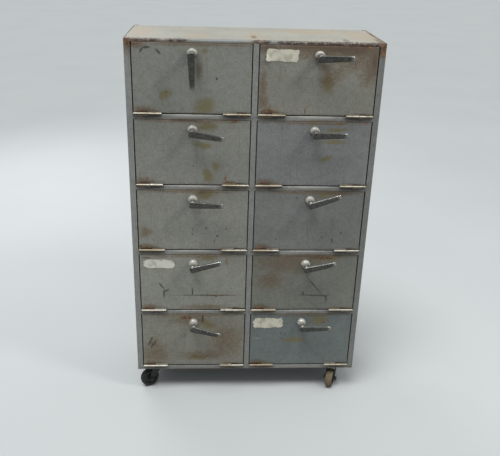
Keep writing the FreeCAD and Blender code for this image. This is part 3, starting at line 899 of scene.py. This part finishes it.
# %% [markdown]
# ## The flaps
#
# A flap is a shallow tray pressed from 1.5 mm sheet. A cube with its back removed, its edges
# bevelled and its faces given a thickness is exactly how the sheet is folded. Two things make it
# look like sheet and not like a block: a real hole for the latch bush, and a face that is never
# quite flat. So the face is cut into small squares, and low waves push it in by a few tenths of a
# millimetre, more in the middle than near the stiff folds. The top fold stands a hair proud, which
# keeps the gap above the flap as thin and dark as on the real one.

# %% Sizes of a flap
sheet = 0.0015
fold_radius = 0.002
bush_radius = 0.00605
patch_half = 0.009
square = 0.012
wave_depth = 0.0009
wave_scale = 9.0
stiff_margin = 0.035
top_lip = 0.0008


def waviness(door, x, z):
    """How far a flap's face is pressed in at a place."""
    low, high = door_box[door]
    inside = min(x - low.x, high.x - x, z - low.z, high.z - z)
    free = max(0.0, min(1.0, (inside - fold_radius) / stiff_margin))
    wave = noise.noise(Vector((x * wave_scale, 3.0, z * wave_scale)))
    return wave_depth * (0.5 + 0.5 * wave) * free * free * (3 - 2 * free)


# %% Folding a flap
def cut_at(shape, point, normal):
    """Cut every face of a shape along a plane."""
    everything = shape.verts[:] + shape.edges[:] + shape.faces[:]
    bmesh.ops.bisect_plane(shape, geom=everything, dist=1e-6, plane_co=point, plane_no=normal)


def folded_tray(low, high):
    """A tray open to the back, with rounded folds."""
    tray = bmesh.new()
    bmesh.ops.create_cube(tray, size=1.0)
    bmesh.ops.scale(tray, vec=high - low, verts=tray.verts)
    bmesh.ops.translate(tray, vec=(low + high) / 2, verts=tray.verts)
    back = [face for face in tray.faces if face.calc_center_median().y > high.y - fold_radius]
    bmesh.ops.delete(tray, geom=back, context="FACES_ONLY")
    folds = [edge for edge in tray.edges if not edge.is_boundary]
    bmesh.ops.bevel(tray, geom=folds, offset=fold_radius, offset_type="OFFSET", segments=4,
                    profile=0.5, affect="EDGES", material=-1)
    return tray


def bush_hole(tray, centre):
    """Open a round hole in the square that the cuts have left round the spindle."""
    middle = min(tray.faces, key=lambda face: (face.calc_center_median() - centre).length)
    rim = middle.edges[:]
    bmesh.ops.delete(tray, geom=[middle], context="FACES_ONLY")
    divided = bmesh.ops.subdivide_edges(tray, edges=rim, cuts=3)
    square_rim = [part for part in divided["geom_split"] if isinstance(part, bmesh.types.BMEdge)]
    square_rim = [edge for edge in square_rim if edge.is_boundary]
    upright = Matrix.Translation(centre) @ Matrix.Rotation(math.pi / 2, 4, "X")
    circle = bmesh.ops.create_circle(tray, segments=16, radius=bush_radius, matrix=upright)
    round_rim = list({edge for vert in circle["verts"] for edge in vert.link_edges})
    bmesh.ops.bridge_loops(tray, edges=square_rim + round_rim)


def flap_panel(door):
    """One pressed flap with its hole."""
    low, high = door_box[door]
    centre = spindle(door)
    high = high + Vector((0, 0, top_lip))
    tray = folded_tray(low, high)
    across = patch_half
    while across < (high.x - low.x) / 2 - fold_radius:
        cut_at(tray, centre + Vector((across, 0, 0)), (1, 0, 0))
        cut_at(tray, centre - Vector((across, 0, 0)), (1, 0, 0))
        across += square
    for direction, limit in ((1, high.z - fold_radius), (-1, low.z + fold_radius)):
        height = centre.z + direction * patch_half
        while direction * height < direction * limit:
            cut_at(tray, (0, 0, height), (0, 0, 1))
            height += direction * square
    bush_hole(tray, centre)
    for vert in tray.verts:
        if vert.co.y < low.y + 1e-5:
            vert.co.y += waviness(door, vert.co.x, vert.co.z)
    bmesh.ops.recalc_face_normals(tray, faces=tray.faces)
    bmesh.ops.solidify(tray, geom=tray.faces[:], thickness=sheet)
    return tray


# %% Ten flaps
for door in doors:
    flap = finished_piece("flap_panel_" + door, flap_panel(door), flap_finish[door],
                          "flap_body_" + door)
    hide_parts("flap_" + door)
print("a flap has", len(flap.data.polygons), "faces")

# %% [markdown]
# ## The levers
#
# Each lever is one casting: a ball that sits against the flap, a stout neck that comes forward, and
# a flat arm that turns off it and tapers to its tip. Casting blends every corner. The shapes could
# be bridged by hand, but it is quicker to overlap simple solids and let a voxel remesh fuse them
# into one skin, as molten metal would, then smooth it. The lever is made once, pointing right, and
# turned to each door's own angle.

# %% Sizes of a lever
ball_radius = 0.0155
ball_centre = 0.009
ball_gap = 0.0005
spindle_radius = 0.004
neck_root = 0.0135
neck_tip = 0.0100
neck_depth = 0.006
reach = -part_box("lever_left_1")[0].y + face_y
arm_length = 0.0955
arm_heel = 0.0095
arm_root = Vector((0, 0.0110, 0.0205))
arm_steps = 9
tip_share = 0.68
tip_bend = 0.0030
tip_start = 0.7
end_round = 0.0055
rim_round = 0.0026
root_drop = 0.0016
tip_rise = 0.0014
skin = 0.0009
print("a lever stands", round(reach * 1000, 1), "mm off the flap")


# %% Casting a lever
def arm_shape():
    """The flat arm, tapered, bent back a little at the tip and rounded."""
    arm = bmesh.new()
    bmesh.ops.create_cube(arm, size=1.0)
    length = arm_length + arm_heel
    bmesh.ops.scale(arm, vec=(length, arm_root.y, arm_root.z), verts=arm.verts)
    bmesh.ops.translate(arm, vec=(length / 2 - arm_heel, arm_root.y / 2 - reach, 0), verts=arm.verts)
    ends = [edge for edge in arm.edges if abs(edge.verts[0].co.y - edge.verts[1].co.y) > 1e-4]
    bmesh.ops.bevel(arm, geom=ends, offset=end_round, offset_type="OFFSET", segments=5,
                    profile=0.5, affect="EDGES", material=-1)
    front_rim = [edge for edge in arm.edges if max(vert.co.y for vert in edge.verts) < 1e-4 - reach]
    bmesh.ops.bevel(arm, geom=front_rim, offset=rim_round, offset_type="OFFSET", segments=4,
                    profile=0.5, affect="EDGES", material=-1)
    for step in range(1, arm_steps):
        cut_at(arm, (arm_length * step / arm_steps, 0, 0), (1, 0, 0))
    for vert in arm.verts:
        along = max(0.0, vert.co.x / arm_length)
        taper = 1 - (1 - tip_share) * along
        vert.co.z = vert.co.z * taper - root_drop + (root_drop + tip_rise) * along
        vert.co.y = -reach + (vert.co.y + reach) * taper
        vert.co.y += tip_bend * max(0.0, (along - tip_start) / (1 - tip_start)) ** 2
    return arm


def cast_lever():
    """Ball, neck, elbow and arm fused into one skin, then cut flat against the flap."""
    cast = arm_shape()
    along_y = Matrix.Rotation(math.pi / 2, 4, "X")
    ball = Matrix.Translation((0, -ball_centre, 0)) @ along_y
    bmesh.ops.create_uvsphere(cast, u_segments=48, v_segments=32, radius=ball_radius, matrix=ball)
    neck_end = reach - neck_depth
    middle = Matrix.Translation((0, -(ball_centre + neck_end) / 2, 0)) @ along_y
    bmesh.ops.create_cone(cast, cap_ends=True, segments=48, radius1=neck_root, radius2=neck_tip,
                          depth=neck_end - ball_centre, matrix=middle)
    mesh = bpy.data.meshes.new("lever_casting")
    cast.to_mesh(mesh)
    cast.free()
    pattern = bpy.data.objects.new("lever_casting", mesh)
    bpy.context.scene.collection.objects.link(pattern)
    fusing = pattern.modifiers.new("fuse", "REMESH")
    fusing.mode = "VOXEL"
    fusing.voxel_size = skin
    evaluated = pattern.evaluated_get(bpy.context.evaluated_depsgraph_get())
    fused = bpy.data.meshes.new_from_object(evaluated)
    bpy.data.objects.remove(pattern)
    return fused


def fettled(fused):
    """Smooth the casting and cut its ball flat where it meets the flap."""
    cast = bmesh.new()
    cast.from_mesh(fused)
    for rub_down in range(4):
        bmesh.ops.smooth_vert(cast, verts=cast.verts, factor=0.5,
                              use_axis_x=True, use_axis_y=True, use_axis_z=True)
    everything = cast.verts[:] + cast.edges[:] + cast.faces[:]
    bmesh.ops.bisect_plane(cast, geom=everything, dist=1e-7, plane_co=(0, -ball_gap, 0),
                           plane_no=(0, 1, 0), clear_outer=True)
    bmesh.ops.holes_fill(cast, edges=[edge for edge in cast.edges if edge.is_boundary])
    spindle_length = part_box("lever_left_1")[1].y - face_y
    along_y = Matrix.Rotation(math.pi / 2, 4, "X")
    shaft = Matrix.Translation((0, spindle_length / 2 - ball_gap, 0)) @ along_y
    bmesh.ops.create_cone(cast, cap_ends=True, segments=32, radius1=spindle_radius,
                          radius2=spindle_radius, depth=spindle_length, matrix=shaft)
    bmesh.ops.recalc_face_normals(cast, faces=cast.faces)
    mesh = bpy.data.meshes.new("lever")
    cast.to_mesh(mesh)
    cast.free()
    return mesh


lever_mesh = fettled(cast_lever())
print("a lever has", len(lever_mesh.polygons), "faces")

# %% Ten levers
for door in doors:
    shape = bmesh.new()
    shape.from_mesh(lever_mesh)
    turned = Matrix.Rotation(-math.radians(lever_angle(door)), 4, "Y")
    turned = Matrix.Translation(spindle(door)) @ turned
    bmesh.ops.transform(shape, matrix=turned, verts=shape.verts)
    lever = finished_piece("lever_casting_" + door, shape, lever_finish, "latch_body_" + door,
                           60.0)
    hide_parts("lever_" + door)
print(len(doors), "levers")

# %% [markdown]
# ## The wheels
#
# A caster wheel is a moulded core with a rubber tyre. Both are round about the axle, so each is
# the outline of half a section, spun a full turn. The outline's corners are rounded first, while
# it is still a flat face.

# %% Turning round parts
def turned_shape(outline, rounding):
    """Spin an outline of (radius, across) points about the Y axis."""
    shape = bmesh.new()
    corners_made = [shape.verts.new((radius, across, 0)) for radius, across in outline]
    shape.faces.new(corners_made)
    bmesh.ops.bevel(shape, geom=corners_made, offset=rounding, offset_type="OFFSET", segments=3,
                    profile=0.5, affect="VERTICES", material=-1)
    bmesh.ops.delete(shape, geom=shape.faces[:], context="FACES_ONLY")
    bmesh.ops.spin(shape, geom=shape.verts[:] + shape.edges[:], cent=(0, 0, 0), axis=(0, 1, 0),
                   dvec=(0, 0, 0), angle=2 * math.pi, steps=64, use_merge=True)
    bmesh.ops.recalc_face_normals(shape, faces=shape.faces)
    return shape


# %% Wheel outlines
wheel_radius = 0.0325
wheel_half = 0.012
rim_radius = 0.022
hub_radius = 0.0085
hub_half = 0.0127
axle_radius = 0.00405
dish = 0.006
tyre_outline = [
    (rim_radius, -wheel_half),
    (wheel_radius - 0.004, -wheel_half),
    (wheel_radius - 0.0010, -wheel_half * 0.62),
    (wheel_radius, 0.0),
    (wheel_radius - 0.0010, wheel_half * 0.62),
    (wheel_radius - 0.004, wheel_half),
    (rim_radius, wheel_half),
]
core_outline = [
    (axle_radius, -hub_half),
    (hub_radius, -hub_half),
    (hub_radius + 0.001, -wheel_half + dish),
    (rim_radius - 0.0035, -wheel_half + dish),
    (rim_radius - 0.0025, -wheel_half + 0.0005),
    (rim_radius - 0.0001, -wheel_half + 0.0005),
    (rim_radius - 0.0001, wheel_half - 0.0005),
    (rim_radius - 0.0025, wheel_half - 0.0005),
    (rim_radius - 0.0035, wheel_half - dish),
    (hub_radius + 0.001, wheel_half - dish),
    (hub_radius, hub_half),
    (axle_radius, hub_half),
]


def rubber(name, tread, side):
    """Rubber with dirt ground into the tread."""
    finish, shader, place = new_finish(name)
    dirt = cloud(finish, place, 110.0, 4.0, 0.65)
    colour = blend_colour(finish, fade(finish, dirt, 0.35, 0.62), side, tread)
    feed(finish, shader.inputs["Base Color"], colour)
    feed(finish, shader.inputs["Roughness"], 0.78)
    relief(finish, shader, cloud(finish, place, 420.0, 3.0, 0.7), 0.0003)
    return finish


brown_rubber = rubber("brown_tyre", (0.135, 0.105, 0.062), (0.070, 0.052, 0.034))
black_rubber = rubber("black_tyre", (0.014, 0.014, 0.014), (0.006, 0.007, 0.008))
core_finish = steel("wheel_core", (0.010, 0.011, 0.012), (0.030, 0.024, 0.018), 0.42, 0.35, 0.1)

# %% Four wheels
for corner in corners:
    axle = joints["axle_" + corner]
    level = Vector((0, 1, 0)).rotation_difference(Vector(axle["axis"])).to_matrix().to_4x4()
    place = Matrix.Translation(axle["pos_m"]) @ level
    tyre = turned_shape(tyre_outline, 0.0012)
    core = turned_shape(core_outline, 0.0006)
    for shape in (tyre, core):
        bmesh.ops.transform(shape, matrix=place, verts=shape.verts)
    tyre_finish = brown_rubber if corner == "front_right" else black_rubber
    tyre_piece = finished_piece("tyre_" + corner, tyre, tyre_finish, "wheel_body_" + corner)
    finished_piece("wheel_core_" + corner, core, core_finish, "wheel_body_" + corner)
    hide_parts("wheel_" + corner)
print("wheels:", len(corners))

# %% [markdown]
# ## The paper labels
#
# Three flaps carry an old paper label, torn at the ends and stained by glue. They are blank here. A
# label is a thin grid that follows the waves of its flap. Noise moves its outer vertices, which
# tears the edge, the ends are rounded off, and one corner curls away from the steel.

# %% Labels
def paper(name, colour):
    """Yellowed paper with darker stains."""
    finish, shader, place = new_finish(name)
    stain = cloud(finish, place, 55.0, 4.0, 0.6)
    fibre = cloud(finish, place, 700.0, 2.0, 0.6)
    colour = blend_colour(finish, fade(finish, stain, 0.42, 0.7), colour, shade(colour, 0.68))
    feed(finish, shader.inputs["Base Color"], colour)
    feed(finish, shader.inputs["Roughness"], 0.85)
    relief(finish, shader, fibre, 0.0001)
    return finish


paper_thickness = 0.0002
glue_thickness = 0.0004


def paper_label(door, left, right, bottom, top, tilt, ends, tear, curl, finish):
    """A torn label with rounded ends; edges are measured from the middle of the flap's foot."""
    label = bmesh.new()
    bmesh.ops.create_grid(label, x_segments=48, y_segments=16, size=0.5)
    upright = Matrix.Rotation(math.pi / 2, 4, "X")
    bmesh.ops.transform(label, matrix=upright, verts=label.verts)
    width, height = right - left, top - bottom
    centre = door_point(door, (left + right) / 2, (bottom + top) / 2)
    seed = 20.0 * centre.x + 7.0 * centre.z
    for vert in label.verts:
        across, up = 2 * vert.co.x, 2 * vert.co.z
        rounding = ends[0] if across < 0 else ends[1]
        end = max(0.0, abs(across) - (1 - rounding)) / rounding
        slow = noise.noise(Vector((across * 2.5, up * 2.0, seed)))
        quick = noise.noise(Vector((across * 7.0, up * 4.0, seed)))
        x = across * width / 2 + (slow + 0.6 * quick) * tear * across * across
        z = up * height / 2 * (1 - 0.42 * end * end) + (0.7 * slow + 0.4 * quick) * tear * up * up
        lift = curl * max(0.0, -across - 0.70) / 0.30 * max(0.0, 0.1 - up)
        vert.co = Vector((x, -lift, z))
    turn_label = Matrix.Rotation(-math.radians(tilt), 3, "Y")
    bmesh.ops.rotate(label, cent=(0, 0, 0), matrix=turn_label, verts=label.verts)
    bmesh.ops.translate(label, vec=centre, verts=label.verts)
    for vert in label.verts:
        vert.co.y += waviness(door, vert.co.x, vert.co.z) - glue_thickness
    doubled = bmesh.ops.extrude_face_region(label, geom=label.faces[:])
    front = [part for part in doubled["geom"] if isinstance(part, bmesh.types.BMVert)]
    bmesh.ops.translate(label, vec=(0, -paper_thickness, 0), verts=front)
    bmesh.ops.recalc_face_normals(label, faces=label.faces)
    return finished_piece("label_" + door, label, finish, "flap_body_" + door)


cream_paper = paper("cream_paper", (0.47, 0.455, 0.37))
white_paper = paper("white_paper", (0.52, 0.515, 0.46))
paper_label("right_1", -0.153, -0.060, 0.156, 0.190, -1.5, (0.14, 0.03), 0.0030, 0.007, cream_paper)
paper_label("left_4", -0.159, -0.062, 0.154, 0.185, -1.0, (0.30, 0.22), 0.0045, 0.001, white_paper)
paper_label("right_5", -0.161, -0.062, 0.150, 0.187, 0.0, (0.16, 0.12), 0.0060, 0.002, cream_paper)
print("3 labels")

# %% [markdown]
# ## Floor and light
#
# The stage is a plain pale floor under soft light. The sky is brighter overhead than at the
# horizon, so the floor under the cabinet stays dark. A wide sun for a ceiling brightens the roof and
# the tops of the levers, and a smaller lamp, high on the right and in front, throws the soft shadows
# that fall down and left from every lever. A third lamp lights the back.

# %% Floor
floor_finish, floor_shader, floor_place = new_finish("pale_floor")
floor_tone = cloud(floor_finish, floor_place, 1.4, 3.0)
floor_colour = blend_colour(floor_finish, floor_tone, (0.35, 0.37, 0.375), (0.39, 0.41, 0.415))
feed(floor_finish, floor_shader.inputs["Base Color"], floor_colour)
feed(floor_finish, floor_shader.inputs["Roughness"], 0.7)
floor_shape = bmesh.new()
bmesh.ops.create_grid(floor_shape, x_segments=1, y_segments=1, size=30.0)
floor_mesh = bpy.data.meshes.new("floor")
floor_shape.to_mesh(floor_mesh)
floor_shape.free()
floor_mesh.materials.append(floor_finish)
floor = bpy.data.objects.new("floor", floor_mesh)
bpy.context.scene.collection.objects.link(floor)

# %% Sky
world = bpy.data.worlds.new("studio")
world.use_nodes = True
sky = world.node_tree.nodes["Background"]
sky.inputs["Color"].default_value = (0.97, 0.99, 1.0, 1.0)
direction = world.node_tree.nodes.new("ShaderNodeTexCoord")
parts = world.node_tree.nodes.new("ShaderNodeSeparateXYZ")
brightness = world.node_tree.nodes.new("ShaderNodeMapRange")
brightness.inputs["From Min"].default_value = 0.0
brightness.inputs["From Max"].default_value = 0.9
brightness.inputs["To Min"].default_value = 0.20
brightness.inputs["To Max"].default_value = 0.74
world.node_tree.links.new(direction.outputs["Generated"], parts.inputs[0])
world.node_tree.links.new(parts.outputs["Z"], brightness.inputs["Value"])
world.node_tree.links.new(brightness.outputs["Result"], sky.inputs["Strength"])
bpy.context.scene.world = world
bpy.context.scene.view_settings.view_transform = "Standard"


# %% Lamps
def lamp(name, place, target, size, power, colour):
    """A square soft lamp that looks at a target."""
    data = bpy.data.lights.new(name, "AREA")
    data.size = size
    data.energy = power
    data.color = colour
    made = bpy.data.objects.new(name, data)
    bpy.context.scene.collection.objects.link(made)
    made.location = place
    made.rotation_euler = (target - place).to_track_quat("-Z", "Y").to_euler()


middle = Vector((0, face_y, 0.65))
back_middle = Vector((0, case_back, 0.6))
lamp("key", middle + Vector((1.68, -1.02, 2.28)), middle, 0.55, 35.0, (1.0, 0.98, 0.94))
lamp("back_fill", Vector((-1.6, 2.4, 1.9)), back_middle, 1.6, 34.0, (0.98, 0.99, 1.0))

# %% Ceiling
ceiling = bpy.data.lights.new("ceiling", "SUN")
ceiling.energy = 2.72
ceiling.angle = math.radians(28)
ceiling_lamp = bpy.data.objects.new("ceiling", ceiling)
bpy.context.scene.collection.objects.link(ceiling_lamp)
ceiling_lamp.rotation_euler = Vector((0.20, 0.29, -0.94)).to_track_quat("-Z", "Y").to_euler()
print("lamps:", len(bpy.data.lights))
